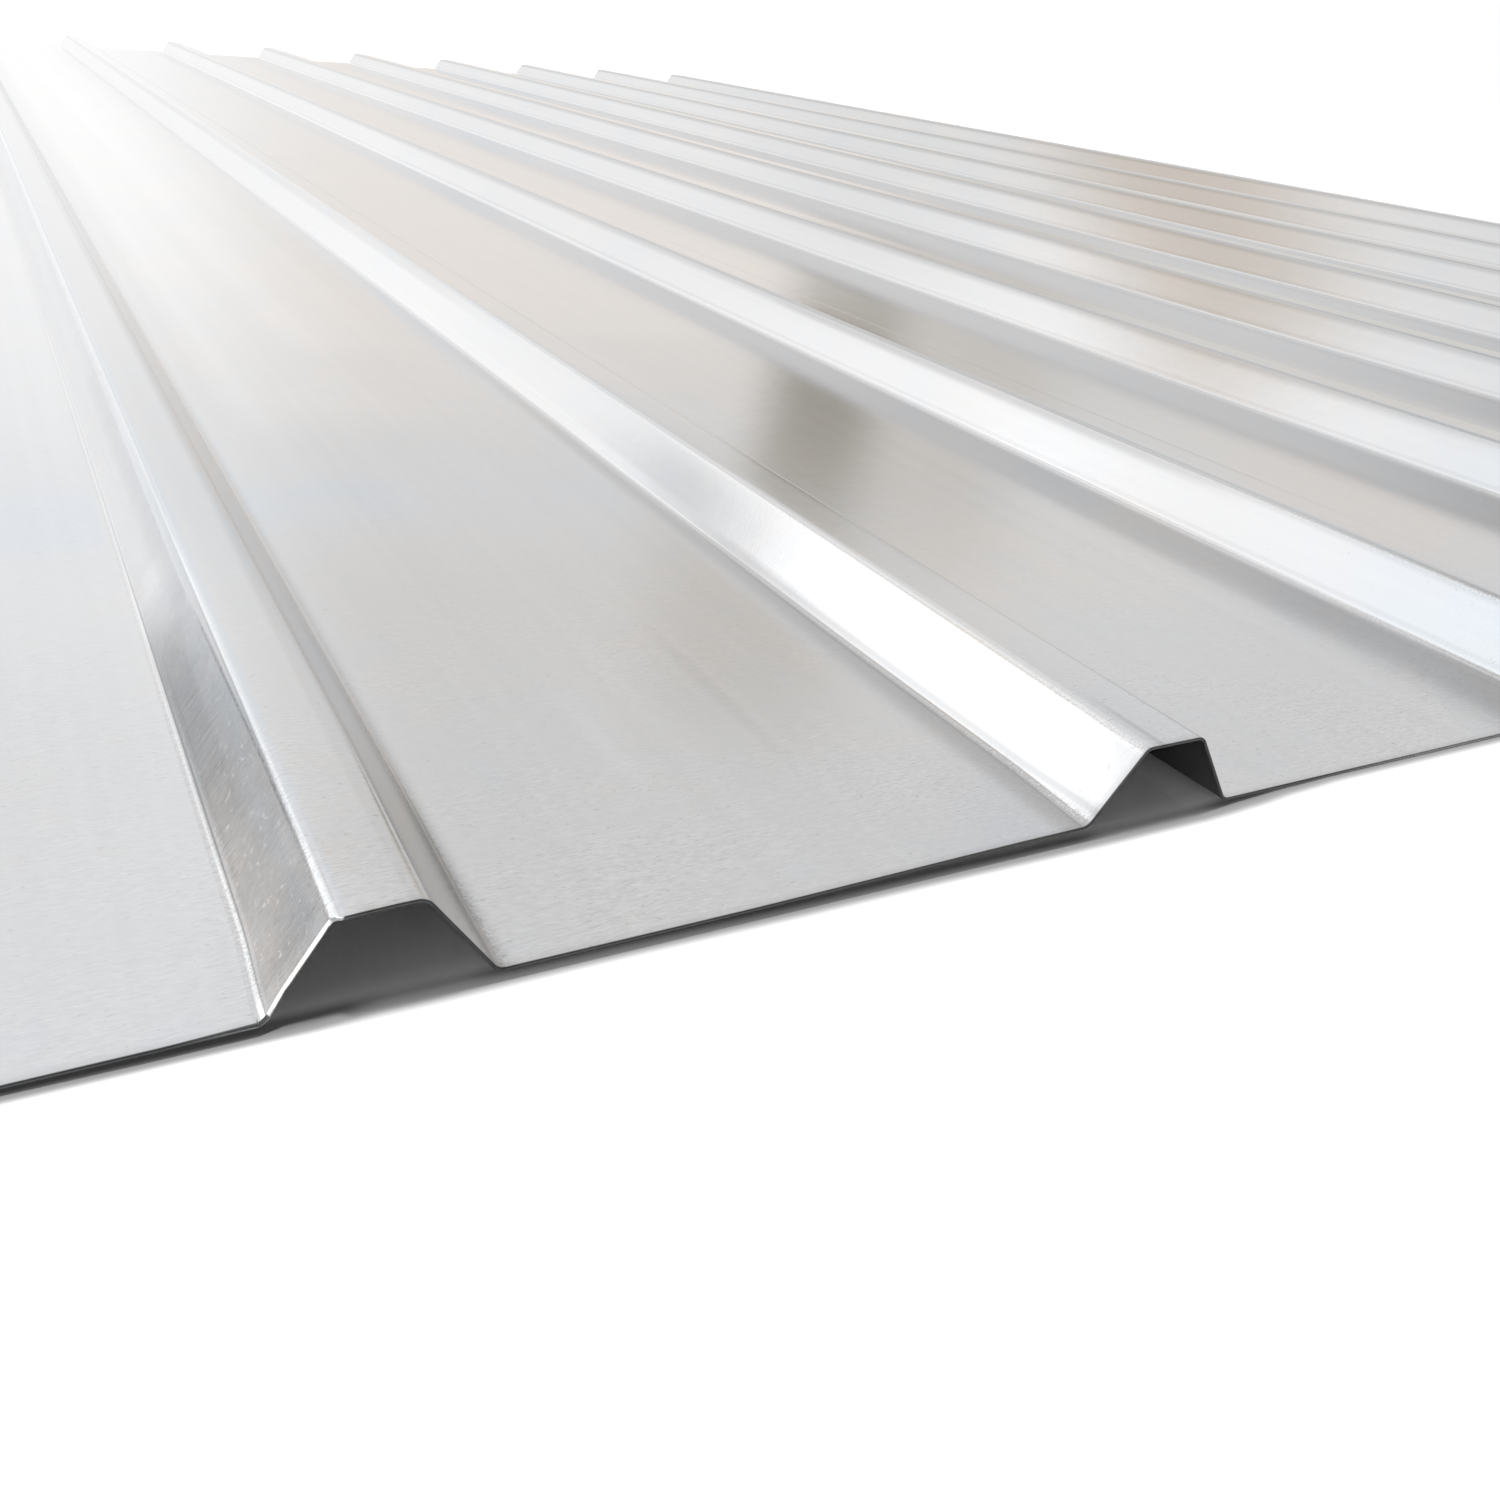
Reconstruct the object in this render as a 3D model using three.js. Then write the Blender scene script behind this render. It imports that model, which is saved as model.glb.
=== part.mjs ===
// A trapezoidal profiled metal sheet, the kind sold for roofs, walls and fences.
// One coil strip is roll formed into a row of low ribs with wide flat pans between
// them, and then sheared to length. Millimetres, +Z up: the ribs run along Y, the
// pans lie on z = 0, and the origin is under the middle of the sheet.
import * as THREE from 'three';
import { toCreasedNormals } from 'three/addons/utils/BufferGeometryUtils.js';

// ---- Driving dimensions -----------------------------------------------------

const SHEET_LENGTH = 2000; // along the ribs, as it was sheared
const SHEET_THICKNESS = 0.5; // strip thickness, the same everywhere
const RIB_COUNT = 10;
const RIB_PITCH = 120; // from one rib to the next
const RIB_HEIGHT = 12.7; // crown above pan, face to face
const RIB_BASE_WIDTH = 27.4; // between the two corners where the webs meet the pans
const RIB_CROWN_WIDTH = 11; // between the two corners where the webs meet the crown
const BEND_RADIUS = 1.5; // inside of every bend
const SIDE_LIP_WIDTH = 5; // flat strip outside the first and the last rib
const END_FLARE = 0.6; // how far each rib foot springs outwards at a sheared end
const END_FLARE_LENGTH = 20; // where the flare has died out, from the sheared end

const BEND_FACETS = 4; // flats that make up one bend
const FLARE_STEPS = 4; // straight stretches that make up one flare

// ---- Section ------------------------------------------------------------------

const WEB_RUN = (RIB_BASE_WIDTH - RIB_CROWN_WIDTH) / 2; // how far a web leans
const WEB_LENGTH = Math.hypot(WEB_RUN, RIB_HEIGHT);
const FIRST_RIB_X = (-RIB_PITCH * (RIB_COUNT - 1)) / 2;
const SHEET_WIDTH = RIB_PITCH * (RIB_COUNT - 1) + RIB_BASE_WIDTH + 2 * SIDE_LIP_WIDTH;
const PAN_TOP = SHEET_THICKNESS;
const OUTER_RADIUS = BEND_RADIUS + SHEET_THICKNESS;

// A bend is two concentric arcs, one on each face of the strip. The angles are
// those met on the way from left to right along the section.
function bend( x, z, fromAngle, toAngle, topRadius, bottomRadius ) {

	return { x, z, fromAngle, toAngle, topRadius, bottomRadius };

}

// The four bends of one rib whose middle is at x. A flared rib has its feet
// further apart, and since its webs keep their length its crown is lower.
function ribBends( x, flare ) {

	const run = WEB_RUN + flare;
	const height = Math.sqrt( WEB_LENGTH ** 2 - run ** 2 );
	const slope = Math.atan2( height, run );
	const footX = RIB_CROWN_WIDTH / 2 + run + BEND_RADIUS * Math.tan( slope / 2 );
	const footZ = PAN_TOP + BEND_RADIUS;
	const shoulderX = RIB_CROWN_WIDTH / 2 - OUTER_RADIUS * Math.tan( slope / 2 );
	const shoulderZ = PAN_TOP + height - OUTER_RADIUS;
	const down = - Math.PI / 2;
	const up = Math.PI / 2;

	return [
		bend( x - footX, footZ, down, down + slope, BEND_RADIUS, OUTER_RADIUS ),
		bend( x - shoulderX, shoulderZ, up + slope, up, OUTER_RADIUS, BEND_RADIUS ),
		bend( x + shoulderX, shoulderZ, up, up - slope, OUTER_RADIUS, BEND_RADIUS ),
		bend( x + footX, footZ, down - slope, down, BEND_RADIUS, OUTER_RADIUS ),
	];

}

// Points along one arc, both ends included.
function arcPoints( x, z, radius, fromAngle, toAngle ) {

	const clockwise = toAngle < fromAngle;
	const arc = new THREE.EllipseCurve( x, z, radius, radius, fromAngle, toAngle, clockwise );
	return arc.getPoints( BEND_FACETS );

}

// The whole outline of the sheet in the XZ plane, counterclockwise: along the
// bottom face from left to right, and back along the top face.
function sheetOutline( flare ) {

	const bends = [];
	for ( let i = 0; i < RIB_COUNT; i ++ ) bends.push( ...ribBends( FIRST_RIB_X + i * RIB_PITCH, flare ) );

	const halfWidth = SHEET_WIDTH / 2;
	const bottom = bends.flatMap( ( b ) => arcPoints( b.x, b.z, b.bottomRadius, b.fromAngle, b.toAngle ) );
	const top = bends.flatMap( ( b ) => arcPoints( b.x, b.z, b.topRadius, b.fromAngle, b.toAngle ) );

	return [
		new THREE.Vector2( - halfWidth, 0 ),
		...bottom,
		new THREE.Vector2( halfWidth, 0 ),
		new THREE.Vector2( halfWidth, PAN_TOP ),
		...top.reverse(),
		new THREE.Vector2( - halfWidth, PAN_TOP ),
	];

}

// ---- Length -------------------------------------------------------------------

// Stations along Y, each with its flare: full at the shear cut, and eased out to
// nothing with a cosine.
function stations() {

	const nearEnd = [];
	for ( let i = 0; i <= FLARE_STEPS; i ++ ) {

		const t = i / FLARE_STEPS;
		nearEnd.push( {
			y: - SHEET_LENGTH / 2 + END_FLARE_LENGTH * t,
			flare: ( END_FLARE * ( 1 + Math.cos( Math.PI * t ) ) ) / 2,
		} );

	}

	const farEnd = nearEnd.map( ( s ) => ( { y: - s.y, flare: s.flare } ) ).reverse();
	return [ ...nearEnd, ...farEnd ];

}

// Joins the outline of each station to that of the next, and closes both ends.
function loftSheet() {

	const sections = stations().map( ( s ) => ( { y: s.y, outline: sheetOutline( s.flare ) } ) );
	const count = sections[ 0 ].outline.length;
	const positions = sections.flatMap( ( s ) => s.outline.flatMap( ( p ) => [ p.x, s.y, p.y ] ) );

	const triangles = [];
	for ( let k = 0; k < sections.length - 1; k ++ ) {

		for ( let i = 0; i < count; i ++ ) {

			const next = ( i + 1 ) % count;
			const here = k * count;
			const ahead = here + count;
			triangles.push( here + i, ahead + i, ahead + next );
			triangles.push( here + i, ahead + next, here + next );

		}

	}

	const last = ( sections.length - 1 ) * count;
	const nearCap = THREE.ShapeUtils.triangulateShape( sections[ 0 ].outline, [] );
	const farCap = THREE.ShapeUtils.triangulateShape( sections.at( - 1 ).outline, [] );
	for ( const [ a, b, c ] of nearCap ) triangles.push( a, b, c );
	for ( const [ a, b, c ] of farCap ) triangles.push( last + a, last + c, last + b );

	const geometry = new THREE.BufferGeometry();
	geometry.setAttribute( 'position', new THREE.Float32BufferAttribute( positions, 3 ) );
	geometry.setIndex( triangles );
	return toCreasedNormals( geometry, THREE.MathUtils.degToRad( 30 ) );

}

// ---- The object ---------------------------------------------------------------

const zincCoatedSteel = new THREE.MeshStandardMaterial( { color: 0xc9cacb, metalness: 1, roughness: 0.35 } );

const profiledSheet = new THREE.Mesh( loftSheet(), zincCoatedSteel );
profiledSheet.name = 'profiled_sheet';

const sheetMetal = new THREE.Group();
sheetMetal.add( profiledSheet );

export default sheetMetal;
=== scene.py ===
# %% [markdown]
# # A ribbed metal sheet on a white floor
# This notebook dresses one roll-formed sheet: a thin zinc-coated strip with ten
# low ribs and wide flat pans between them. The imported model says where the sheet
# is and how big it is. Everything that is modelled here keeps to that box.

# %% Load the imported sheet
import math

import bmesh
import bpy
import numpy as np
from mathutils import Matrix, Vector


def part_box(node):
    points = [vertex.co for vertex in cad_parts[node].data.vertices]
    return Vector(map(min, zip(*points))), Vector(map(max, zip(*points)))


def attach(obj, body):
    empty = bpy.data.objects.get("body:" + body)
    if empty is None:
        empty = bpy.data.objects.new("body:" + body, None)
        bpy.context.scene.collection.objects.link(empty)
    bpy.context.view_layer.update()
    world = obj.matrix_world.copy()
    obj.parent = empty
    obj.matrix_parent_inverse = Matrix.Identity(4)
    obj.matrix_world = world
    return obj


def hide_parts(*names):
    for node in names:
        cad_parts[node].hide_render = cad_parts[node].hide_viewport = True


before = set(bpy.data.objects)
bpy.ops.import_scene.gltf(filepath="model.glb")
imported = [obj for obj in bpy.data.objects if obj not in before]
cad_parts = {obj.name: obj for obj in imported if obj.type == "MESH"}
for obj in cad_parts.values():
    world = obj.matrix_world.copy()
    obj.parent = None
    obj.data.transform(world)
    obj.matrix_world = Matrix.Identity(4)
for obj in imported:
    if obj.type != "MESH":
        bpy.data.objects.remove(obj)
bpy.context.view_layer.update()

print(len(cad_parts), "node in the packed model")
sheet_low, sheet_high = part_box("profiled_sheet")
print("sheet box in mm:", [round(v * 1000, 2) for v in sheet_high - sheet_low])

# %% [markdown]
# ## The camera
# The view is a close one: the lens stands 130 mm in front of the sheared end and
# 105 mm above the floor, and looks along the ribs and down. It is turned about
# the vertical, dipped, and rolled a few degrees. Writing those three angles is
# clearer than a list of Euler numbers, so the axes are built from them.

# %% Place the camera
MM = 0.001
CAMERA_PLACE = Vector((-449.55, -1130.38, 105.48)) * MM
CAMERA_YAW = math.radians(-29.98)
CAMERA_DIP = math.radians(28.08)
CAMERA_ROLL = math.radians(5.16)
SENSOR_WIDTH = 36  # mm
CAMERA_LENS = 33.034  # mm

ahead = Vector((-math.sin(CAMERA_YAW) * math.cos(CAMERA_DIP),
                math.cos(CAMERA_YAW) * math.cos(CAMERA_DIP),
                -math.sin(CAMERA_DIP)))
level_right = Vector((math.cos(CAMERA_YAW), math.sin(CAMERA_YAW), 0))
level_up = level_right.cross(ahead)
right = level_right * math.cos(CAMERA_ROLL) + level_up * math.sin(CAMERA_ROLL)
up = level_up * math.cos(CAMERA_ROLL) - level_right * math.sin(CAMERA_ROLL)

camera_data = bpy.data.cameras.new("close_view")
camera_data.lens = CAMERA_LENS
camera_data.sensor_width = SENSOR_WIDTH
camera_data.sensor_fit = "HORIZONTAL"
camera_data.clip_start = 5 * MM
camera_data.clip_end = 50
camera = bpy.data.objects.new("close_view", camera_data)
axes = Matrix((right, up, -ahead)).transposed().to_4x4()
camera.matrix_world = Matrix.Translation(CAMERA_PLACE) @ axes
bpy.context.scene.collection.objects.link(camera)
bpy.context.scene.camera = camera
print("camera looks along", [round(v, 3) for v in ahead])

# %% [markdown]
# ## The strip and its bends
# A rolling mill starts with a flat strip and folds it along lines. The model is
# made in the same order: a plane as large as the sheet is scored along every
# fold line with bisect, the crown strips are lifted, and the folds are rounded
# with bevel. A loft of the section would give the same faces, but these are the
# tools that one would use by hand, and they keep one clean grid from end to end.

# %% Sizes of the section
THICKNESS = 0.5 * MM
RIB_COUNT = 10
RIB_PITCH = 120 * MM
RIB_BASE = 27.4 * MM
RIB_CROWN = 11 * MM
INNER_RADIUS = 1.5 * MM
OUTER_RADIUS = INNER_RADIUS + THICKNESS
BEND_SEGMENTS = 5

sheet_length = sheet_high.y - sheet_low.y
sheet_width = sheet_high.x - sheet_low.x
rib_height = sheet_high.z - sheet_low.z - THICKNESS
rib_middles = [(i - (RIB_COUNT - 1) / 2) * RIB_PITCH for i in range(RIB_COUNT)]
web_slope = math.atan2(rib_height, (RIB_BASE - RIB_CROWN) / 2)
print("rib height %.2f mm," % (rib_height / MM), "web slope %.1f degrees" % math.degrees(web_slope))


# %% Helpers for a mesh in edit mode
def score(axis, place):
    """Cuts an edge line right across the mesh, square to one axis."""
    normal = Vector((0, 0, 0))
    normal[axis] = 1
    bpy.ops.mesh.select_all(action="SELECT")
    bpy.ops.mesh.bisect(plane_co=normal * place, plane_no=normal)


def pick_vertices(mesh_object, wanted):
    """Selects the vertices for which wanted(x, y, z) holds, and says how many."""
    bpy.ops.mesh.select_all(action="DESELECT")
    bpy.ops.mesh.select_mode(type="VERT")
    shell = bmesh.from_edit_mesh(mesh_object.data)
    picked = [v for v in shell.verts if wanted(*v.co)]
    for vertex in picked:
        vertex.select_set(True)
    shell.select_flush(True)
    bmesh.update_edit_mesh(mesh_object.data)
    return len(picked)


def near_any(value, places, tolerance):
    """Says whether a value lies within the tolerance of any of the places."""
    return any(abs(value - place) < tolerance for place in places)


# %% Cut the strip and score its fold lines
bpy.ops.object.select_all(action="DESELECT")
bpy.ops.mesh.primitive_plane_add(size=1)
sheet = bpy.context.object
sheet.name = "rolled_sheet"
bpy.ops.object.mode_set(mode="EDIT")
bpy.ops.transform.resize(value=(sheet_width, sheet_length, 1))
bpy.ops.transform.translate(value=(0, 0, sheet_low.z + THICKNESS))
foot_lines = [m + side * RIB_BASE / 2 for m in rib_middles for side in (-1, 1)]
shoulder_lines = [m + side * RIB_CROWN / 2 for m in rib_middles for side in (-1, 1)]
for line in foot_lines + shoulder_lines:
    score(0, line)
print(len(sheet.data.vertices), "then", len(bmesh.from_edit_mesh(sheet.data).verts), "vertices")

# %% Lift the crowns
HAIR = 0.01 * MM
lifted = pick_vertices(sheet, lambda x, y, z: near_any(x, shoulder_lines, HAIR))
bpy.ops.transform.translate(value=(0, 0, rib_height))
print("lifted", lifted, "vertices")

# %% Round the folds
for lines, radius in ((foot_lines, INNER_RADIUS), (shoulder_lines, OUTER_RADIUS)):
    pick_vertices(sheet, lambda x, y, z: near_any(x, lines, HAIR))
    bpy.ops.mesh.select_mode(type="EDGE")
    setback = radius * math.tan(web_slope / 2)
    bpy.ops.mesh.bevel(offset=setback, offset_type="OFFSET", segments=BEND_SEGMENTS,
                       profile=0.5, affect="EDGES", clamp_overlap=False)
    vertex_count = len(bmesh.from_edit_mesh(sheet.data).verts)
    print("setback %.3f mm," % (setback / MM), vertex_count, "vertices")

# %% [markdown]
# ## Rows and columns for the small shapes
# The folded strip is still made of long straight faces. To spring its ends and to
# let its pans ripple it needs vertices to move, so rows are scored across it,
# close together at the near end and further apart behind, and a few columns run
# along every pan, web and crown.

# %% Score the rows
ROW_STEP_NEAR = 2 * MM
ROW_STEP_FAR = 32 * MM
ROW_GROWTH = 0.08
ROW_STEP_END = 5 * MM
ROWS_AT_END = 4

near_end = sheet_low.y
row_distances = []
distance = ROW_STEP_NEAR
while distance < sheet_length - (ROWS_AT_END + 1) * ROW_STEP_END:
    row_distances.append(distance)
    distance += min(max(ROW_STEP_NEAR, distance * ROW_GROWTH), ROW_STEP_FAR)
row_distances += [sheet_length - step * ROW_STEP_END for step in range(ROWS_AT_END, 0, -1)]
for distance in row_distances:
    score(1, near_end + distance)
print(len(row_distances), "rows scored")

# %% Score the columns
PAN_COLUMNS = 7
RIB_COLUMNS = (-9.6, -2, 2, 9.6)  # from the middle of every rib, mm
SECOND_RIB_COLUMNS = (-7.2, -8.4, -10.8, -12.0)  # more on its left web, mm
pan_width = RIB_PITCH - RIB_BASE
column_lines = []
for middle in rib_middles[:-1]:
    pan_start = middle + RIB_BASE / 2
    for column in range(1, PAN_COLUMNS + 1):
        column_lines.append(pan_start + pan_width * column / (PAN_COLUMNS + 1))
for middle in rib_middles:
    column_lines += [middle + offset * MM for offset in RIB_COLUMNS]
column_lines += [rib_middles[1] + offset * MM for offset in SECOND_RIB_COLUMNS]
for line in column_lines:
    score(0, line)
bpy.ops.object.mode_set(mode="OBJECT")
print(len(column_lines), "columns scored,", len(sheet.data.vertices), "vertices")

# %% [markdown]
# ## Springing the sheared ends
# When the finished profile is cut across, the locked-in rolling stress is let
# go and every rib spreads a little at the cut: its feet move outwards, and the
# crown sinks because the webs keep their length. The vertices are moved in
# numpy, which is the quickest way to apply one formula to all of them.

# %% Spread the ribs at both ends
END_FLARE = 0.6 * MM
END_FLARE_LENGTH = 20 * MM
LEAST_GIVE = 0.35  # on the right side of the second rib, of the whole flare
points = np.zeros(len(sheet.data.vertices) * 3)
sheet.data.vertices.foreach_get("co", points)
points = points.reshape(-1, 3)
x, y, z = points.T
rib_index = np.clip(np.round((x - rib_middles[0]) / RIB_PITCH), 0, RIB_COUNT - 1)
from_middle = x - (rib_middles[0] + rib_index * RIB_PITCH)
side = np.sign(from_middle)
reach = np.abs(from_middle)
from_end = np.minimum(y - sheet_low.y, sheet_high.y - y)
flare = END_FLARE * (1 + np.cos(np.pi * np.clip(from_end / END_FLARE_LENGTH, 0, 1))) / 2
web_run = (RIB_BASE - RIB_CROWN) / 2
web_length = math.hypot(web_run, rib_height)
on_web = np.clip((reach - RIB_CROWN / 2) / web_run, 0, 1)
on_pan = np.clip((RIB_PITCH / 2 - reach) / (RIB_PITCH / 2 - RIB_BASE / 2), 0, 1)
on_pan[(rib_index == 0) & (side < 0) | (rib_index == RIB_COUNT - 1) & (side > 0)] = 1
at_side = np.abs(x) > sheet_width / 2 - HAIR
crown_share = np.clip(0.5 - from_middle / RIB_CROWN, LEAST_GIVE, 1)
give = flare * np.where((rib_index == 1) & (y < 0), crown_share, 1)
sunk = np.where((rib_index == 2) & (y < 0), 0, give)
lower = np.sqrt(web_length ** 2 - (web_run + sunk) ** 2) / rib_height
pan_top = sheet_low.z + THICKNESS
points[:, 0] = x + side * give * on_web * on_pan * ~at_side
points[:, 2] = pan_top + (z - pan_top) * lower
print("crown sinks %.2f mm at the cut" % ((1 - lower.min()) * rib_height / MM))

# %% [markdown]
# ## Small accidents of the near end
# No sheared end is quite true. Here one pan curls up beside the third rib, the
# webs of two ribs lean, and the shear has bitten a millimetre short into the left
# web of the second rib. The pans ripple by a few hundredths of a millimetre,
# which hardly moves them but keeps their reflections from being dead straight.

# %% Let the near end wander a little
PAN_LIFT = 0.8 * MM
PAN_LIFT_LENGTH = 90  # mm back from the cut, as the lengths below are
PAN_RIPPLE = 0.04 * MM
RIPPLE_WAVES = (29, 47)  # mm, two waves that beat
WEB_CUT_SHORT = 1.0 * MM
CUT_SHORT_LENGTH = 14
CUT_SHORT_TOP = (4.7, 6.3)  # mm out from the rib's middle, where the bite begins
CUT_SHORT_FOOT = (15.2, 11.5)  # and where it ends
RIGHT_WEB_LEAN = 0.6 * MM
CROWN_SPREAD = 0.4 * MM
LEAN_LENGTH = 50


def ease(value, start, end):
    """0 at start, 1 at end, smooth in between; start may be the higher one."""
    share = np.clip((value - start) / (end - start), 0, 1)
    return share * share * (3 - 2 * share)


x, y, z = points.T.copy()
from_cut = (y - near_end) / MM
third = rib_middles[2]
lift = ease(x, third - 80 * MM, third - 16 * MM)
lift = lift * ease(x, third - RIB_CROWN / 2, third - RIB_BASE / 2) * ease(from_cut, PAN_LIFT_LENGTH, 0)
on_pan_flat = (reach > RIB_BASE / 2) & (np.abs(x) < rib_middles[-1])
across_pan = np.clip((reach - RIB_BASE / 2 - 2 * MM) / (pan_width / 2 - 2 * MM), 0, 1)
first_wave = np.sin(y / MM / RIPPLE_WAVES[0] + 1.7 * rib_index * side)
second_wave = np.sin(y / MM / RIPPLE_WAVES[1] + rib_index)
ripple = (1 + first_wave * second_wave) * np.sin(across_pan * np.pi / 2) ** 2 * on_pan_flat
points[:, 2] = z + PAN_LIFT * lift + PAN_RIPPLE / 2 * ripple
to_left = ease(from_middle / MM, 0.5, 4.5) * ease(from_middle / MM, 50, 18) * (rib_index == 1)
to_right = ease(from_middle / MM, 1.0, 5.5) * ease(from_middle / MM, 14.0, 5.5) * (rib_index == 2)
leaning = ease(from_cut, LEAN_LENGTH, 0)
points[:, 0] = x + (CROWN_SPREAD * to_right - RIGHT_WEB_LEAN * to_left) * leaning
second_left = (rib_index == 1) & (side < 0)
bitten = second_left * ease(reach / MM, *CUT_SHORT_TOP) * ease(reach / MM, *CUT_SHORT_FOOT)
points[:, 1] = y + WEB_CUT_SHORT * bitten * ease(from_cut, CUT_SHORT_LENGTH, 0)
sheet.data.vertices.foreach_set("co", points.ravel())
at_cut = from_cut * MM < HAIR
slanted = second_left * ease(reach / MM, 4.2, 5.6) * ease(reach / MM, 15.6, 14.2)
print("pan lifted %.2f mm beside the third rib" % ((points[:, 2] - z).max() / MM))

# %% [markdown]
# ## From a surface to a plate
# Solidify gives the surface its real half millimetre, downwards, so that the
# section keeps its outer size. The bitten web was cut on a slant, so its upper
# edge moves back. A small bevel breaks the sheared edges, and Weighted Normal
# keeps the wide flats flat where they run into the narrow bends.

# %% Give the sheet its thickness
def apply_modifier(piece, kind, name, **settings):
    """Adds one modifier with its settings and applies it."""
    bpy.ops.object.select_all(action="DESELECT")
    piece.select_set(True)
    bpy.context.view_layer.objects.active = piece
    modifier = piece.modifiers.new(name, kind)
    for setting, value in settings.items():
        setattr(modifier, setting, value)
    bpy.ops.object.modifier_apply(modifier=name)


EDGE_BREAK = 0.20 * MM
BREAK_ANGLE = math.radians(60)
SMOOTH_ANGLE = math.radians(35)
SLANT = 0.45 * MM
apply_modifier(sheet, "SOLIDIFY", "strip thickness",
               thickness=THICKNESS, offset=-1, use_even_offset=True)
points = np.zeros(len(sheet.data.vertices) * 3)
sheet.data.vertices.foreach_get("co", points)
points = points.reshape(-1, 3)
upper_face = slice(0, len(at_cut))
points[upper_face, 1] += SLANT * slanted * at_cut
sheet.data.vertices.foreach_set("co", points.ravel())
print(int((slanted * at_cut > 0.5).sum()), "vertices of the slanted cut moved back")
apply_modifier(sheet, "BEVEL", "broken edges", width=EDGE_BREAK, segments=3,
               limit_method="ANGLE", angle_limit=BREAK_ANGLE, use_clamp_overlap=False)
bpy.ops.object.shade_smooth_by_angle(angle=SMOOTH_ANGLE)
apply_modifier(sheet, "WEIGHTED_NORMAL", "flat flats", keep_sharp=True, weight=50)
print("triangles:", sum(len(p.vertices) - 2 for p in sheet.data.polygons))

# %% [markdown]
# ## Shader maths
# The metal and the studio are written as formulas. Signal wraps one output
# socket, so that + - * / between signals add the Math nodes, and one method
# makes every other node.

# %% A socket that can be added and multiplied
class Signal:
    """An output socket of a node tree, or the bare tree to start from."""

    def __init__(self, tree, socket=None):
        self.tree, self.socket = tree, socket

    def node(self, kind, settings=None, sockets=None, out=0):
        """Makes a node: its type, its settings first, then its sockets."""
        made = self.tree.nodes.new("ShaderNode" + kind)
        for name, value in (settings or {}).items():
            setattr(made, name, value)
        for name, value in (sockets or {}).items():
            if isinstance(value, Signal):
                self.tree.links.new(value.socket, made.inputs[name])
            else:
                made.inputs[name].default_value = value
        return Signal(self.tree, made.outputs[out] if made.outputs else None)

    def maths(self, operation, *values):
        """One Math node; the operators below are short ways to write it."""
        return self.node("Math", {"operation": operation}, dict(enumerate(values)))

    def __add__(self, other): return self.maths("ADD", self, other)
    def __sub__(self, other): return self.maths("SUBTRACT", self, other)
    def __rsub__(self, other): return self.maths("SUBTRACT", other, self)
    def __mul__(self, other): return self.maths("MULTIPLY", self, other)
    def __truediv__(self, other): return self.maths("DIVIDE", self, other)
    __radd__ = __add__
    __rmul__ = __mul__

    def ease(self, start, end):
        """0 at start, 1 at end, smooth in between; start may be the higher one."""
        return self.node("MapRange", {"interpolation_type": "SMOOTHSTEP"},
                         {"Value": self, "From Min": start, "From Max": end})

    def band(self, start, end, soft):
        """1 between start and end, fading to 0 over soft on both sides."""
        half = (end - start) / 2
        from_middle = self - (start + end) / 2
        return from_middle.maths("ABSOLUTE", from_middle).ease(half + soft, half - soft)

    def grey(self):
        """The same value in all three channels of a colour."""
        return self.node("CombineXYZ", None, {0: self, 1: self, 2: self})

    def parts(self):
        """The three coordinates of a vector, each a signal of its own."""
        split = self.node("SeparateXYZ", None, {0: self})
        return [Signal(self.tree, output) for output in split.socket.node.outputs]


def blend(factor, first, second):
    """Mixes two colours by a signal."""
    return factor.node("Mix", {"data_type": "RGBA"}, {0: factor, 6: first, 7: second}, out=2)


# %% [markdown]
# ## The studio
# Bare metal looks like what stands round it, so the studio is part of the
# finish. The sheet lies in a pale room: grey walls that brighten towards the
# floor, a paler left side with a window-like light, a dark upright flag, a few
# soft tinted patches, a dim ceiling, and less light from behind the camera.
# It is one world shader, written from the azimuth (0 along the ribs, positive
# to the right) and the elevation, both in degrees.

# %% Measure directions in the room
world = bpy.data.worlds.new("white_studio")
bpy.context.scene.world = world
world.use_nodes = True
world.node_tree.nodes.clear()
studio = Signal(world.node_tree)
DEGREES = 180 / math.pi
across, along, high = studio.node("TexCoord", out="Generated").parts()
azimuth = across.maths("ARCTAN2", across, along) * DEGREES
elevation = high.maths("ARCSINE", high) * DEGREES
print(len(world.node_tree.nodes), "nodes say where in the room a direction points")

# %% Light the walls and the ceiling
WALL_GREY = 0.75
RIGHT_WALL_GREY = 0.42
BEHIND_GREY = 0.10
CEILING_GREY = 0.25
low_glow = elevation.ease(19, 6)
walls = WALL_GREY + 0.16 * low_glow
not_behind = azimuth.ease(-130, -100)
left_side = azimuth.ease(14, 3) * not_behind
walls = walls + left_side * (0.14 + 0.10 * elevation.ease(30, 18) - 0.09 * low_glow)
walls = walls + azimuth.ease(-8, -18) * not_behind * elevation.band(14, 23, 3) * 0.06
far_left = azimuth.ease(-19, -29) * not_behind
far_left_glow = 0.27 * elevation.ease(46, 36) - 0.05 * elevation.ease(34, 22)
walls = walls + far_left * (far_left_glow - 0.12 * elevation.ease(14, 8))
walls = walls + azimuth.ease(-8, -14) * not_behind * elevation.band(7, 12, 2) * 0.11
right_wall = azimuth.ease(60, 74)
walls = walls + right_wall * (RIGHT_WALL_GREY - walls)
behind_camera = azimuth.maths("ABSOLUTE", azimuth).ease(95, 135)
walls = walls + azimuth.band(36, 50, 4) * elevation.band(15, 24, 2) * 0.03
walls = walls + azimuth.band(3, 13, 3) * elevation.band(20, 32, 3) * 0.03
walls = walls - azimuth.band(19, 28, 3) * elevation.band(9, 17, 2) * 0.035
brightness = walls + behind_camera * (BEHIND_GREY - walls)
brightness = brightness + elevation.ease(50, 72) * (CEILING_GREY - brightness)
room = brightness.grey()
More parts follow.
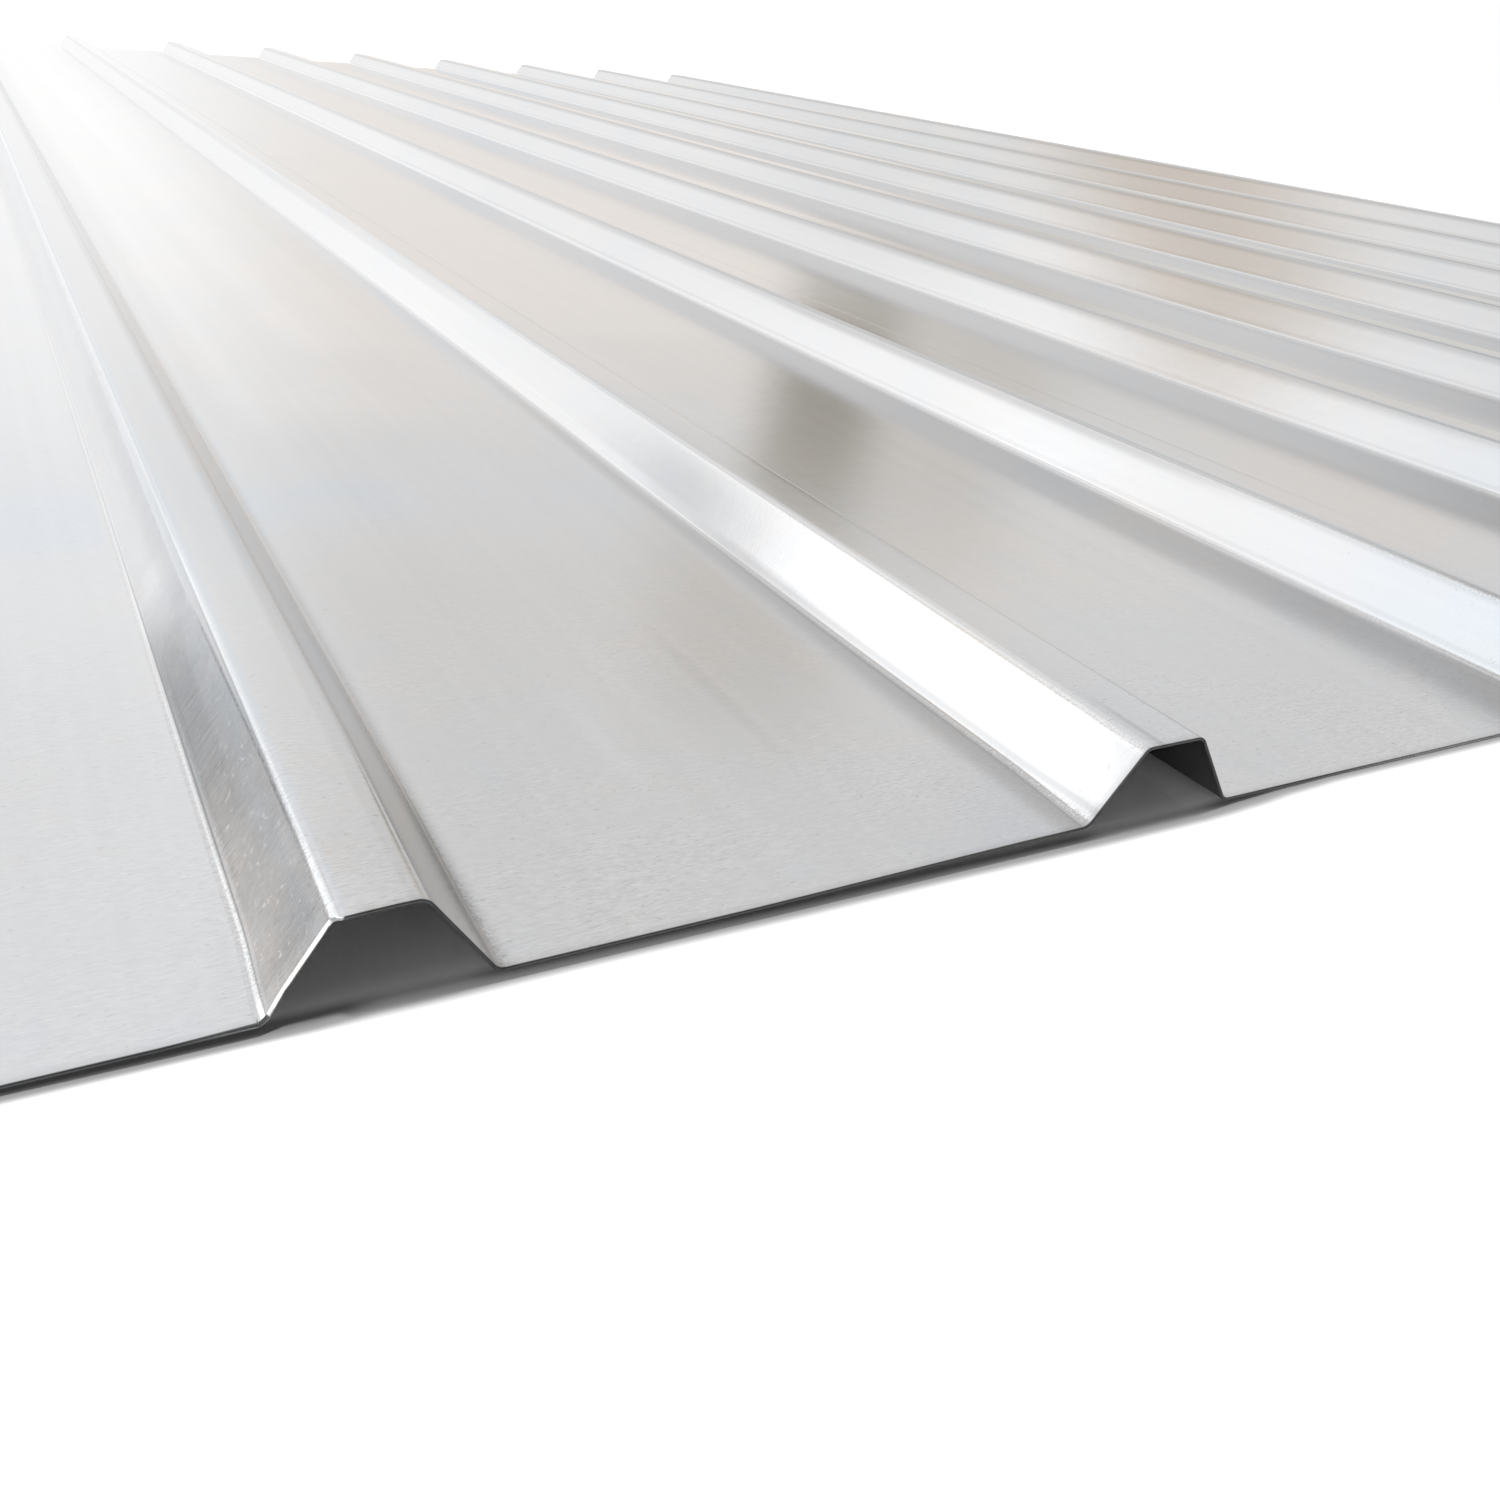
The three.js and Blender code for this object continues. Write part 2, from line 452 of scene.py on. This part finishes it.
print(len(world.node_tree.nodes), "nodes with the walls and the ceiling")

# %% Hang the lights, flags and tinted patches
leaning_azimuth = azimuth + 0.22 * (elevation - 12)
patches = [  # each a mask, a colour and a strength
    # Warm walls low on the right, and a cooler strip above them.
    (azimuth.band(10, 36, 5) * elevation.ease(17, 11), (0.90, 0.84, 0.785), 0.80),
    (azimuth.band(36, 60, 4) * elevation.ease(17, 11), (0.71, 0.69, 0.66), 0.90),
    (azimuth.band(10, 40, 6) * elevation.band(20, 24, 1.5), (0.79, 0.75, 0.71), 0.60),
    (azimuth.band(-8, 25, 3) * elevation.band(17.3, 19.3, 1.0), (0.80, 0.85, 0.92), 0.60),
    # The soft border of the dark upright flag, the flag, and the haze round its head,
    # then a cool and a warm patch to the right of it.
    (leaning_azimuth.band(33, 41, 2.5) * elevation.band(5, 19, 2.5), (0.61, 0.575, 0.535), 0.75),
    (leaning_azimuth.band(29.8, 34.4, 1.4) * elevation.band(9, 18.5, 2.5), (0.33, 0.31, 0.27), 0.92),
    (azimuth.band(25, 33, 2.5) * elevation.band(18, 27, 3.0), (0.60, 0.575, 0.54), 0.65),
    (azimuth.band(40, 50, 3) * elevation.band(27, 42, 4), (0.66, 0.69, 0.73), 0.70),
    (azimuth.band(48, 57, 3) * elevation.band(13.5, 17, 1.5), (0.84, 0.76, 0.70), 0.60),
    # The window on the left, and the darker things beside it and under it.
    (azimuth.band(-47, -33.5, 3) * elevation.band(16.5, 28.5, 2.5), (1.60, 1.62, 1.64), 1.00),
    (azimuth.band(-31.5, -25, 1.6) * elevation.band(11, 17.5, 2.0), (0.74, 0.76, 0.78), 0.95),
    (azimuth.band(-31, -22.5, 1.5) * elevation.band(-5, 9, 1.5), (0.33, 0.335, 0.34), 0.95),
    (azimuth.band(-42, -31, 2.0) * elevation.band(-5, 10, 1.5), (0.56, 0.525, 0.495), 0.90),
    # A cool and a warm patch high on the left, and the long light beside the sheet.
    (azimuth.band(-70, -46, 5) * elevation.band(33, 48, 4), (1.08, 1.14, 1.20), 0.90),
    (azimuth.band(-36, -18, 3.5) * elevation.band(33.5, 41, 2.5), (0.68, 0.60, 0.52), 0.90),
    (azimuth.band(-132, -62, 6) * elevation.band(-20, 22, 4), (1.50, 1.50, 1.50), 1.00),
]
for mask, colour, strength in patches:
    room = blend(mask * strength, room, (*colour, 1))
seen = studio.node("Background", None, {"Color": (1, 1, 1, 1), "Strength": 1.0})
lighting = studio.node("Background", None, {"Color": room, "Strength": 1.0})
camera_ray = studio.node("LightPath", out="Is Camera Ray")
surroundings = studio.node("MixShader", None, {0: camera_ray, 1: lighting, 2: seen})
studio.node("OutputWorld", None, {"Surface": surroundings})
print(len(patches), "patches in the room,", len(world.node_tree.nodes), "nodes")

# %% [markdown]
# ## The overhead light
# One soft light from straight above whitens the floor and throws the shadow
# under the cut. It is hidden from reflections, so that the metal shows the room.

# %% Set the overhead light
OVERHEAD_STRENGTH = 0.90 * math.pi
OVERHEAD_SPREAD = math.radians(6)
key_data = bpy.data.lights.new("overhead_softbox", "SUN")
key_data.energy = OVERHEAD_STRENGTH
key_data.angle = OVERHEAD_SPREAD
key = bpy.data.objects.new("overhead_softbox", key_data)
key.visible_glossy = False
bpy.context.scene.collection.objects.link(key)
print("overhead light of %.2f" % key_data.energy)

# %% [markdown]
# ## The floor
# A thin sheet never lies quite dead on the floor: its burrs and its bow hold it
# off by up to a millimetre and a half. That gap, with the shadow painted on the
# floor and the painted shade on the cut, makes the fine dark line under the sheared
# end. The floor is matt.

# %% Lay the floor
FLOOR_SIZE = 12  # m
FLOOR_PLACES = [-480, -440, -415, -291, -283, -274, -262]  # across the sheet, mm
FLOOR_GAPS = [0.5, 1.15, 1.5, 1.5, 0.8, 0.35, 0.1]  # under the pans there, mm
bpy.ops.object.select_all(action="DESELECT")
bpy.ops.mesh.primitive_plane_add(size=FLOOR_SIZE)
floor = bpy.context.object
floor.name = "studio_floor"
bpy.ops.object.mode_set(mode="EDIT")
for floor_place in FLOOR_PLACES:
    score(0, floor_place * MM)
bpy.ops.object.mode_set(mode="OBJECT")
for vertex in floor.data.vertices:
    vertex.co.z = sheet_low.z - np.interp(vertex.co.x / MM, FLOOR_PLACES, FLOOR_GAPS) * MM
print(len(floor.data.vertices), "floor vertices")

# %% [markdown]
# ## The shadow under the cut
# The paint is a plain grey for the light that the floor sends back to the metal.
# Where the camera looks at it, it glows up to pure white a few millimetres in
# front of the cut, and under the sheet it is left dark. How far the dark reaches
# out changes along the cut, because the sheet does not stand off evenly. The dark
# depends on the distance to the cut alone, so it goes on past the sheet's sides.

# %% Find the edge of the shadow
floor_material = bpy.data.materials.new("matt_white_floor")
floor_material.use_nodes = True
floor_material.node_tree.nodes.clear()
paint = Signal(floor_material.node_tree)
looked_at = paint.node("LightPath", out="Is Camera Ray")
floor_x, floor_y, _ = (part / MM for part in paint.node("TexCoord", out="Object").parts())
shadow_reach = 0.6 + 0.4 * floor_x.ease(-440, -500) + 0.5 * floor_x.ease(-395, -360)
shadow_reach = shadow_reach + 0.45 * floor_x.ease(-350, -312) + 0.3 * floor_x.ease(-420, -430)
shadow_reach = shadow_reach + 0.45 * floor_x.band(-288, -275, 5) - 0.35 * floor_x.ease(-272, -258)
before_cut = near_end / MM - floor_y - shadow_reach
print(len(floor_material.node_tree.nodes), "nodes find the edge of the shadow")

# %% Paint the floor
PLAIN_PALENESS = 0.40
shadow_edge = before_cut.ease(-5.0, -2.6) * before_cut.ease(4.2, 2.2)
deep = before_cut.ease(-4.0, -8.0)
paleness = PLAIN_PALENESS + looked_at * (0.58 - 0.78 * shadow_edge - 0.14 * deep)
matt = paint.node("BsdfDiffuse", None, {"Color": paleness.grey()})
open_floor = floor_x.band(-423, -408, 4) + floor_x.band(-312, -288, 3)
sharper = before_cut * (1 + 0.7 * floor_x.ease(-420, -434))
wider_rise = before_cut.ease(-5.0, -1.5) - before_cut.ease(-3.0, -0.4)
slow_rise = sharper.ease(-3.0, -0.4) + open_floor * 0.55 * wider_rise
glow = looked_at * (0.02 + 0.16 * slow_rise + 0.82 * sharper.ease(-0.85, 1.65))
glowing = paint.node("Emission", None, {"Color": glow.grey(), "Strength": 1.0})
floor_paint = paint.node("AddShader", None, {0: matt, 1: glowing})
paint.node("OutputMaterial", None, {"Surface": floor_paint})
floor.data.materials.append(floor_material)
print(len(floor_material.node_tree.nodes), "nodes in the floor paint")

# %% [markdown]
# ## The zinc-coated steel
# The coating is bright and smooth but rolled. Short streaks cross it, faint bands
# run with the ribs, and beside every fold the rollers leave a dull, stippled
# track. Everything is placed from the position on the sheet in millimetres, so
# that each mark stays in its place on the sheet. Many of the marks further on are
# not the coating's own but painted highlights and painted shade.

# %% Say where a point is on the sheet
metal = bpy.data.materials.new("bright_zinc_coating")
metal.use_nodes = True
metal.node_tree.nodes.clear()
zinc = Signal(metal.node_tree)
place = zinc.node("TexCoord", out="Object")
place = zinc.node("VectorMath", {"operation": "SCALE"}, {0: place, "Scale": 1 / MM})
place_x, place_y, _ = place.parts()
back = place_y - near_end / MM  # from the near cut, mm
turn = (place_x - rib_middles[0] / MM) / (RIB_PITCH / MM)
rib_number = turn.maths("ROUND", turn)  # 0 is the first rib on the left
offset = (turn - rib_number) * (RIB_PITCH / MM)
reach = offset.maths("ABSOLUTE", offset)  # from the middle of the nearest rib, mm
left_half = offset.ease(0.5, -0.5)
right_half = 1 - left_half
second_rib = rib_number.maths("COMPARE", rib_number, 1.0, 0.1)
third_rib = rib_number.maths("COMPARE", rib_number, 2.0, 0.1)
print(len(metal.node_tree.nodes), "nodes say where a point is")


# %% Draw the marks that are the same all over
def grain(across, along, up, seed=0.0, detail=2.0):
    """Noise around zero, with its number of waves per millimetre on each axis."""
    stretched = zinc.node("VectorMath", {"operation": "MULTIPLY_ADD"},
                          {0: place, 1: (across, along, up), 2: (seed, seed, seed)})
    noise = zinc.node("TexNoise", None, {"Vector": stretched, "Scale": 1.0, "Detail": detail})
    return noise - 0.5


streaks = grain(0.75, 2.6, 0.75)
long_streaks = grain(0.16, 1.9, 0.16, seed=7.0)
dashes = grain(0.62, 2.6, 0.62, seed=31.0, detail=1.0)
crowding = grain(0.035, 0.045, 0.035, seed=37.0, detail=1.0).ease(-0.12, 0.16)
bands = grain(0.25, 0.003, 0.25, seed=3.0)
clouds = grain(0.022, 0.014, 0.022, seed=5.0)
stipple = grain(3.0, 3.0, 3.0, seed=9.0, detail=1.0)
pits = grain(1.1, 1.5, 1.1, seed=53.0, detail=0.0).ease(0.29, 0.34)

# The marks are crispest at the cut, and fainter on the left webs from the third
# rib on.
crispness = 0.32 + 0.28 * back.ease(160, 60) + 0.64 * back.ease(52, 12)
first_pan = place_x.ease(-432, -438)
crispness = crispness * (1 + first_pan * (0.6 * back.ease(12, 60) - 0.5))
on_web = reach.band(6.3, 13.0, 0.4)
on_left_web = on_web * left_half
web_share = 1 - 0.75 * on_left_web * rib_number.ease(1.2, 1.8)
brushed = 0.21 * streaks + 0.07 * long_streaks
brushed = brushed - 0.07 * dashes.ease(0.15, 0.23) + 0.05 * dashes.ease(-0.15, -0.22)
brushed = crispness * (0.62 + 0.75 * crowding) * web_share * brushed
tone = 1 + brushed + 0.06 * bands + 0.05 * clouds
tone = tone * (1 - crispness * pits * 0.13)
warmth = clouds * 0.05 + grain(0.10, 0.10, 0.10, seed=11.0) * 0.035
dull = 0.10 * streaks + 0.06 * clouds
print(len(metal.node_tree.nodes), "nodes with the marks that are the same all over")

# %% [markdown]
# ## Painted highlights and shade along each fold
# Along the folds the colour is lightened and darkened to stand in for light: the
# bright lines are painted highlights and the dark lines painted shade, and each rib
# has its own. Every such line is a mask and a gain: the mask says how far out from
# the rib's middle it runs and over which stretch behind the cut, and the gain says
# how much lighter or darker the metal is there. Most lists go from the crown to the foot.


# %% Lay painted highlights and shade on the tone
def marked(painted_light, marks):
    """The tone with painted highlights and shade on it, each a mask and a gain."""
    for mask, gain in marks:
        painted_light = painted_light * (1 + mask * gain)
    return painted_light


# %% Painted shade on the right side of all ribs
right_side_shade = (reach - 1.3 * rib_number.ease(2.4, 2.6)).ease(4.5, 5.6) * reach.ease(15.5, 13.2)
# The right webs are painted darker, most near the cut, and thin painted dark lines run along the right
# shoulder and the foot.
painted_light = marked(1.0, [
    (right_half * right_side_shade, -0.34 + 0.32 * back.ease(40, 520)),
    (right_half * reach.band(3.6, 5.0, 0.7) * back.ease(50, 130), -0.12),
    (right_half * reach.band(14.4, 15.6, 0.8), -0.07),
])
print(len(metal.node_tree.nodes), "nodes with the right side of all ribs")

# %% Painted highlights and shade on the crown and the right side of the second rib
second_right = second_rib * right_half
# A painted highlight along the foot, and a painted shadow over the foot and the pan beside it.
painted_foot_highlight = 0.19 - 0.10 * back.ease(90, 150)
painted_foot_shadow = -0.21 + 0.15 * back.ease(18, 4) + 0.24 * back.ease(40, 160)
# Each mark below is painted light: darker stretches are painted shade, lighter ones painted
# highlights.
painted_light = marked(painted_light, [
    # The crown and its right shoulder.
    (second_rib * reach.ease(5.6, 4.4), -0.03 - 0.07 * back.ease(80, 220)),
    (second_right * reach.band(2.9, 4.4, 0.4) * back.ease(150, 100), -0.055),
    (second_right * reach.band(5.3, 5.9, 0.2), -0.06),
    # The web.
    (second_right * reach.band(5.7, 12.0, 0.5) * back.band(36, 115, 12), -0.11),
    (second_right * reach.band(5.7, 11.4, 0.6) * back.band(115, 175, 12), -0.05),
    (second_right * reach.band(5.9, 10.0, 1.2) * back.band(115, 180, 20), -0.08),
    (second_right * reach.band(6.0, 13.9, 0.5) * back.ease(190, 270), 0.05),
    (second_right * reach.band(10.2, 12.0, 0.5) * back.ease(14, 4), 0.10),
    # The foot and the pan beside it.
    (second_right * reach.band(11.5, 13.7, 0.5) * back.ease(135, 155), 0.06),
    (second_right * reach.band(12.7, 14.3, 0.45) * back.ease(30, 55), painted_foot_highlight),
    (second_right * reach.ease(10.6, 12.8) * reach.ease(15.2, 13.4), painted_foot_shadow),
    (second_right * reach.ease(14.5, 15.8) * reach.ease(30, 20) * back.ease(200, 330), -0.05),
])
print(len(metal.node_tree.nodes), "nodes with the right side of the second rib")

# %% Painted highlights and shade on the left shoulder of the second rib
# The feet spring out at the cut, so the marks on this side spring out with them.
# Off this side sprung is 0, which no band reaches. One mark, the notch, leaves the
# shoulder on a slant instead.
second_left = second_rib * left_half
sprung = second_left * (reach - 0.6 * back.ease(20, 0) * reach.ease(5.5, 13.5))
notch = reach - 0.88 * back.ease(20, 125)
notched = second_left * notch.band(6.0, 6.25, 0.12)
beside_notch = notch.ease(5.98, 5.72) * reach.ease(5.85, 6.0)
# Beside the notch and along the shoulder the marks are painted highlights and painted shade; the notch
# itself is a speckled dark line.
painted_light = marked(painted_light, [
    (second_left * beside_notch * back.band(50, 100, 6), 0.25),
    (notched * back.band(20, 106, 8), -0.20 + 0.13 * back.ease(70, 90)),
    (sprung.band(5.2, 6.05, 0.12) * back.ease(80, 190), -0.17),
    (sprung.band(5.5, 5.95, 0.12) * back.band(120, 165, 10), -0.08),
    (sprung.band(5.7, 6.3, 0.2) * back.ease(56, 74), 0.13),
    (sprung.band(5.7, 7.0, 0.35) * back.ease(70, 110), 0.10),
    (sprung.band(5.95, 6.3, 0.12) * back.band(62, 105, 6), 0.12),
    (sprung.band(6.1, 7.0, 0.15) * back.ease(80, 115), 0.06 + 0.15 * back.ease(240, 150)),
])
print(len(metal.node_tree.nodes), "nodes with the left shoulder of the second rib")

# %% Painted highlights and shade on the left web and foot of the second rib
painted_light = marked(painted_light, [
    # The web: painted highlights and painted shade.
    (sprung.band(6.3, 7.3, 0.5) * back.band(3, 26, 5), 0.13),
    (sprung.band(6.4, 14.0, 0.6) * back.ease(5.5, 2.5), 0.25),
    (sprung.band(7.0, 13.4, 0.8) * back.ease(105, 125), 0.06),
    (sprung.band(7.3, 9.6, 0.7) * back.band(128, 265, 12), -0.07),
    (sprung.band(8.6, 12.9, 0.8) * back.band(101, 130, 7), 0.04),
    (sprung.band(8.8, 12.9, 1.2) * back.ease(104, 84), -0.11),
    (sprung.band(9.0, 13.3, 0.8) * back.band(92, 103, 4), -0.08),
    (sprung.band(9.5, 13.4, 0.6) * back.band(108, 131, 5), 0.08),
    (sprung.band(9.6, 13.0, 0.4) * back.band(38, 92, 8), -0.08),
    (sprung.band(10.2, 13.4, 0.6) * back.ease(135, 160), -0.04),
    # The foot, a fan of fine painted highlights and fine painted lines of shade.
    (sprung.band(12.3, 12.7, 0.2) * back.band(20, 95, 10), -0.10),
    (sprung.band(12.95, 13.2, 0.12) * back.ease(100, 60), 0.16),
    (sprung.band(13.0, 13.5, 0.2) * back.ease(46, 72), 0.06),
    (sprung.band(13.2, 13.45, 0.12) * back.ease(40, 24), 0.10),
    (sprung.band(13.3, 13.6, 0.12) * back.ease(10, 34), -0.20 + 0.10 * back.ease(60, 120)),
    (sprung.band(13.5, 14.3, 0.2) * back.ease(36, 20), -0.04),
    (sprung.band(13.5, 14.3, 0.2) * back.ease(125, 155), -0.07 + 0.04 * back.ease(230, 320)),
    (sprung.band(13.62, 13.86, 0.10) * back.band(36, 108, 8), -0.16),
    (sprung.band(13.75, 14.0, 0.15) * back.ease(100, 70), 0.04),
    (sprung.band(14.15, 14.7, 0.15) * back.ease(130, 60), -0.08),
])
print(len(metal.node_tree.nodes), "nodes with the left side of the second rib")

# %% Painted highlights and shade on the third rib
third_left = third_rib * left_half
pan_side_shade = reach.ease(20.5, 16.0) * reach.ease(13.2, 14.0)
# Painted highlights and painted shade, and painted shadow on the pan beside the left foot.
painted_light = marked(painted_light, [
    # The crown and the shoulders.
    (third_left * reach.band(1.9, 3.0, 0.4) * back.ease(22, 6), -0.18),
    (third_left * reach.band(4.2, 6.3, 0.5) * back.ease(120, 70), 0.16),
    (third_rib * right_half * reach.band(4.5, 6.9, 0.5) * back.ease(300, 380), 0.05),
    (third_left * reach.band(5.9, 7.6, 0.6) * back.ease(280, 400), -0.13),
    # The left web, its foot and the pan beside it.
    (third_left * reach.band(7.5, 12.8, 0.8) * back.band(138, 168, 10), -0.04),
    (third_left * reach.band(12.0, 13.7, 0.4) * back.ease(170, 240), -0.12),
    (third_left * reach.band(12.0, 15.0, 0.6) * back.ease(120, 180), 0.14),
    (third_left * reach.band(12.2, 13.6, 0.6) * back.ease(150, 110), -0.22),
    (third_left * reach.band(12.6, 13.2, 0.2) * back.ease(120, 90), -0.10),
    (third_left * pan_side_shade, -0.16 + 0.10 * back.ease(220, 380)),
])
print(len(metal.node_tree.nodes), "nodes with the third rib")

# %% Painted highlights and shade on the left side of the ribs behind
ribs_behind = left_half * rib_number.ease(2.3, 2.7)
fourth_rib = ribs_behind * rib_number.ease(3.8, 3.2)
fifth_and_on = ribs_behind * rib_number.ease(3.2, 3.8)
narrow_shade = reach.ease(15.4, 18.0) * reach.ease(36.0, 25.0)
wide_shade = reach.ease(16.4, 21.0) * reach.ease(58.0, 38.0)
# Painted dark lines at the shoulder and the foot, a painted highlight along the foot, and painted
# shade on the pan beside it.
painted_light = marked(painted_light, [
    (ribs_behind * reach.band(5.2, 6.7, 0.4), -0.11),
    (ribs_behind * reach.band(5.2, 7.3, 0.5) * back.ease(80, 180), -0.10),
    (fourth_rib * reach.band(6.4, 7.4, 0.5) * back.band(110, 330, 20), -0.12),
    (ribs_behind * reach.band(12.5, 13.3, 0.3), -0.12),
    (ribs_behind * reach.band(13.0, 15.4, 0.7), 0.17),
    (fourth_rib * reach.ease(15.0, 17.0) * reach.ease(35.5, 30.0) * back.ease(65, 0), 0.50),
    (fourth_rib * narrow_shade, -0.24 + 0.13 * back.ease(220, 330)),
    (fifth_and_on * wide_shade, -0.17 + 0.09 * back.ease(180, 330)),
])
print(len(metal.node_tree.nodes), "nodes with the ribs behind")

# %% Painted reflections on the pans, and the stippled tracks
# The wide stretches are painted reflection brightness on the pans; the two narrow bands draw faint
# lines along the first pan.
painted_light = marked(painted_light, [
    (place_x.ease(-402, -392) * place_x.ease(-345, -365) * back.ease(215, 270), 0.06),
    (place_x.band(-374.0, -371.0, 1.2) * back.band(34, 68, 12), 0.035),
    (place_x.band(-366, -334, 8) * back.ease(300, 345), 0.055),
    (place_x.band(-348.6, -345.6, 1.0) * back.band(40, 85, 16), -0.05),
    (place_x.band(-268, -215, 8) * back.band(240, 330, 20), -0.045),
])
track = reach.band(13.5, 14.6, 0.3) + reach.band(5.4, 6.4, 0.25)
tone = tone * painted_light * (1 + crispness * track * stipple * 0.7)
print(len(metal.node_tree.nodes), "nodes with the pans and the tracks")

# %% [markdown]
# ## The scuffed web
# Bare zinc is soft, and the left web of the second rib has been rubbed. Straight
# fine lines run up it, a little off square to the fold, with pale flecks and
# blotches between them and a trace of warm brown near the cut. Stretched noise
# with a high threshold gives such lines without drawing each one.

# %% Draw the scuffed web of the second rib
scuffed = second_rib * on_left_web * back.ease(135, 95)
climb = (13.3 - reach) * 1.84  # up the web from its foot, mm


def scratch_lines(tilt, seed, fineness, threshold):
    """Fine straight lines up the web, tilted a little from square to the fold."""
    along_web = (back - climb * tilt) * fineness
    up_web = (climb + back * tilt) * 0.10
    place_on_web = zinc.node("CombineXYZ", None, {0: along_web, 1: up_web, 2: seed})
    lines = zinc.node("TexNoise", None, {"Vector": place_on_web, "Scale": 1.0, "Detail": 3.0})
    return lines.ease(threshold, threshold + 0.10)


rubbed = 0.15 + 0.85 * back.band(28, 78, 9) * climb.ease(11, 6)
bright_lines = scratch_lines(-0.2, 13.0, 2.6, 0.59) + 0.6 * scratch_lines(0.15, 14.0, 2.1, 0.61)
dark_lines = scratch_lines(-0.15, 15.0, 1.7, 0.57) * climb.ease(9, 4)
flecks = grain(0.9, 0.6, 0.9, seed=17.0, detail=2.0)
blotches = grain(0.20, 0.16, 0.20, seed=29.0, detail=4.0)
scuffs = rubbed * (0.30 * bright_lines - 0.20 * dark_lines) + 0.24 * blotches + 0.16 * flecks
tone = tone * (1 + scuffed * scuffs)
tone = tone * (1 + scuffed * flecks.ease(0.15, 0.20) * back.ease(80, 40) * 0.26)
speckled = notched * back.band(22, 94, 8)
speckles = grain(2.2, 1.5, 2.2, seed=43.0, detail=1.0).ease(-0.02, 0.12)
tone = tone * (1 - speckled * speckles * 0.35)
print(len(metal.node_tree.nodes), "nodes with the scuffs")

# %% Tint the coating, and paint tinted reflections
warm_spots = grain(0.30, 0.16, 0.30, seed=19.0, detail=3.0)
warm_sides = 0.030 * climb.ease(10, 5) + 0.035 * climb.ease(10.5, 12.5) * back.ease(62, 40)
warmth = warmth + scuffed * back.ease(72, 50) * (warm_sides - 0.006 + 0.07 * warm_spots)
# The tints from here on are painted reflections: the metal is made cooler or warmer where it mirrors
# tinted parts of the room.
warmth = warmth - second_left * reach.band(4.0, 6.0, 0.5) * 0.035
warmth = warmth - scuffed * back.band(58, 100, 8) * 0.012
warmth = warmth + place_x.band(-404, -315, 6) * back.ease(40, 80) * 0.010
warmth = warmth + place_x.band(-284, -196, 5) * back.band(75, 125, 15) * 0.030
warmth = warmth - place_x.ease(-432, -436) * (0.008 + 0.012 * back.ease(70, 30))
cool_reflection_band = place_x.ease(-362, -378) * back.band(161, 194, 7)
warmth = warmth - reach.ease(14.5, 16) * cool_reflection_band * 0.028
cool_reflection_web = reach.band(5.6, 13.5, 0.5) * back.ease(110, 150) * 0.042
cool_reflection_foot = reach.band(12.9, 14.2, 0.3) * back.ease(60, 100) * 0.02
warmth = warmth - right_half * (reach.band(4.7, 5.6, 0.4) * 0.04 + cool_reflection_web + cool_reflection_foot)
print(len(metal.node_tree.nodes), "nodes with the tints")

# %% [markdown]
# ## The sheared ends
# A shear tears more than it cuts, so the end faces are rough, and they are darker:
# partly the duller bare steel, partly painted shade. The last millimetre or two of
# the upper surface before them is painted a little darker, as shade. The slanted cut
# of the second rib's left web is the exception: its painted shade is narrower and
# skips the edge strip, so it stays bright. On the right the cut catches more light,
# so it is darkened less there.

# %% Darken the sheared ends, partly with painted shade
half_length = sheet_high.y / MM
from_middle_row = place_y.maths("ABSOLUTE", place_y)
less_shaded_slant = second_left * reach.ease(1.8, 4.6) * reach.ease(16.0, 14.4)
bite = second_left * reach.ease(*CUT_SHORT_TOP) * reach.ease(*CUT_SHORT_FOOT)
past_cut = back - bite * (WEB_CUT_SHORT / MM)
near_cut = past_cut.ease(0.35, 0.05) * (1 - less_shaded_slant) + past_cut.ease(0.18, 0.08) * less_shaded_slant
far_cut = from_middle_row.ease(half_length - 0.35, half_length - 0.05) * place_y.ease(-1, 1)
sheared = far_cut + near_cut
edge_strip_shade = from_middle_row.ease(half_length - 1.8, half_length - 0.3) * (1 - less_shaded_slant)
edge_shade = 0.70 - 0.42 * place_x.ease(-270, -235)
# Painted shade on the end faces and on the strip of upper surface before them.
tone = tone * (1 - sheared * edge_shade) * (1 - edge_strip_shade * 0.12)
print(len(metal.node_tree.nodes), "nodes with the sheared ends")

# %% Colour, roughness and fine relief
ZINC_RED, ZINC_GREEN, ZINC_BLUE = 0.79, 0.79, 0.795
POLISHED_ROUGHNESS = 0.13
SHEARED_ROUGHNESS = 0.35
RELIEF_DEPTH = 0.02 * MM
red = ZINC_RED * tone * (1 + warmth)
blue = ZINC_BLUE * tone * (1 - warmth)
base = zinc.node("CombineXYZ", None, {0: red, 1: ZINC_GREEN * tone, 2: blue})
roughness = POLISHED_ROUGHNESS + 0.06 * dull + track * 0.06 + scuffed * 0.05
roughness = roughness + sheared * SHEARED_ROUGHNESS
relief_height = streaks + 3.0 * grain(0.12, 0.10, 0.12, seed=23.0)
relief = zinc.node("Bump", None,
                   {"Strength": 0.4, "Distance": RELIEF_DEPTH, "Height": relief_height})
coating = zinc.node("BsdfPrincipled", None, {"Base Color": base, "Metallic": 1.0,
                                             "Roughness": roughness, "Normal": relief})
zinc.node("OutputMaterial", None, {"Surface": coating})
sheet.data.materials.clear()
sheet.data.materials.append(metal)
print(len(metal.node_tree.nodes), "nodes in the metal")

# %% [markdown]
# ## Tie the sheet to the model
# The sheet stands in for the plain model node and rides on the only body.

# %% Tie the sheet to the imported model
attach(sheet, "root")
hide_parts("profiled_sheet")
bpy.context.scene.view_settings.view_transform = "Standard"
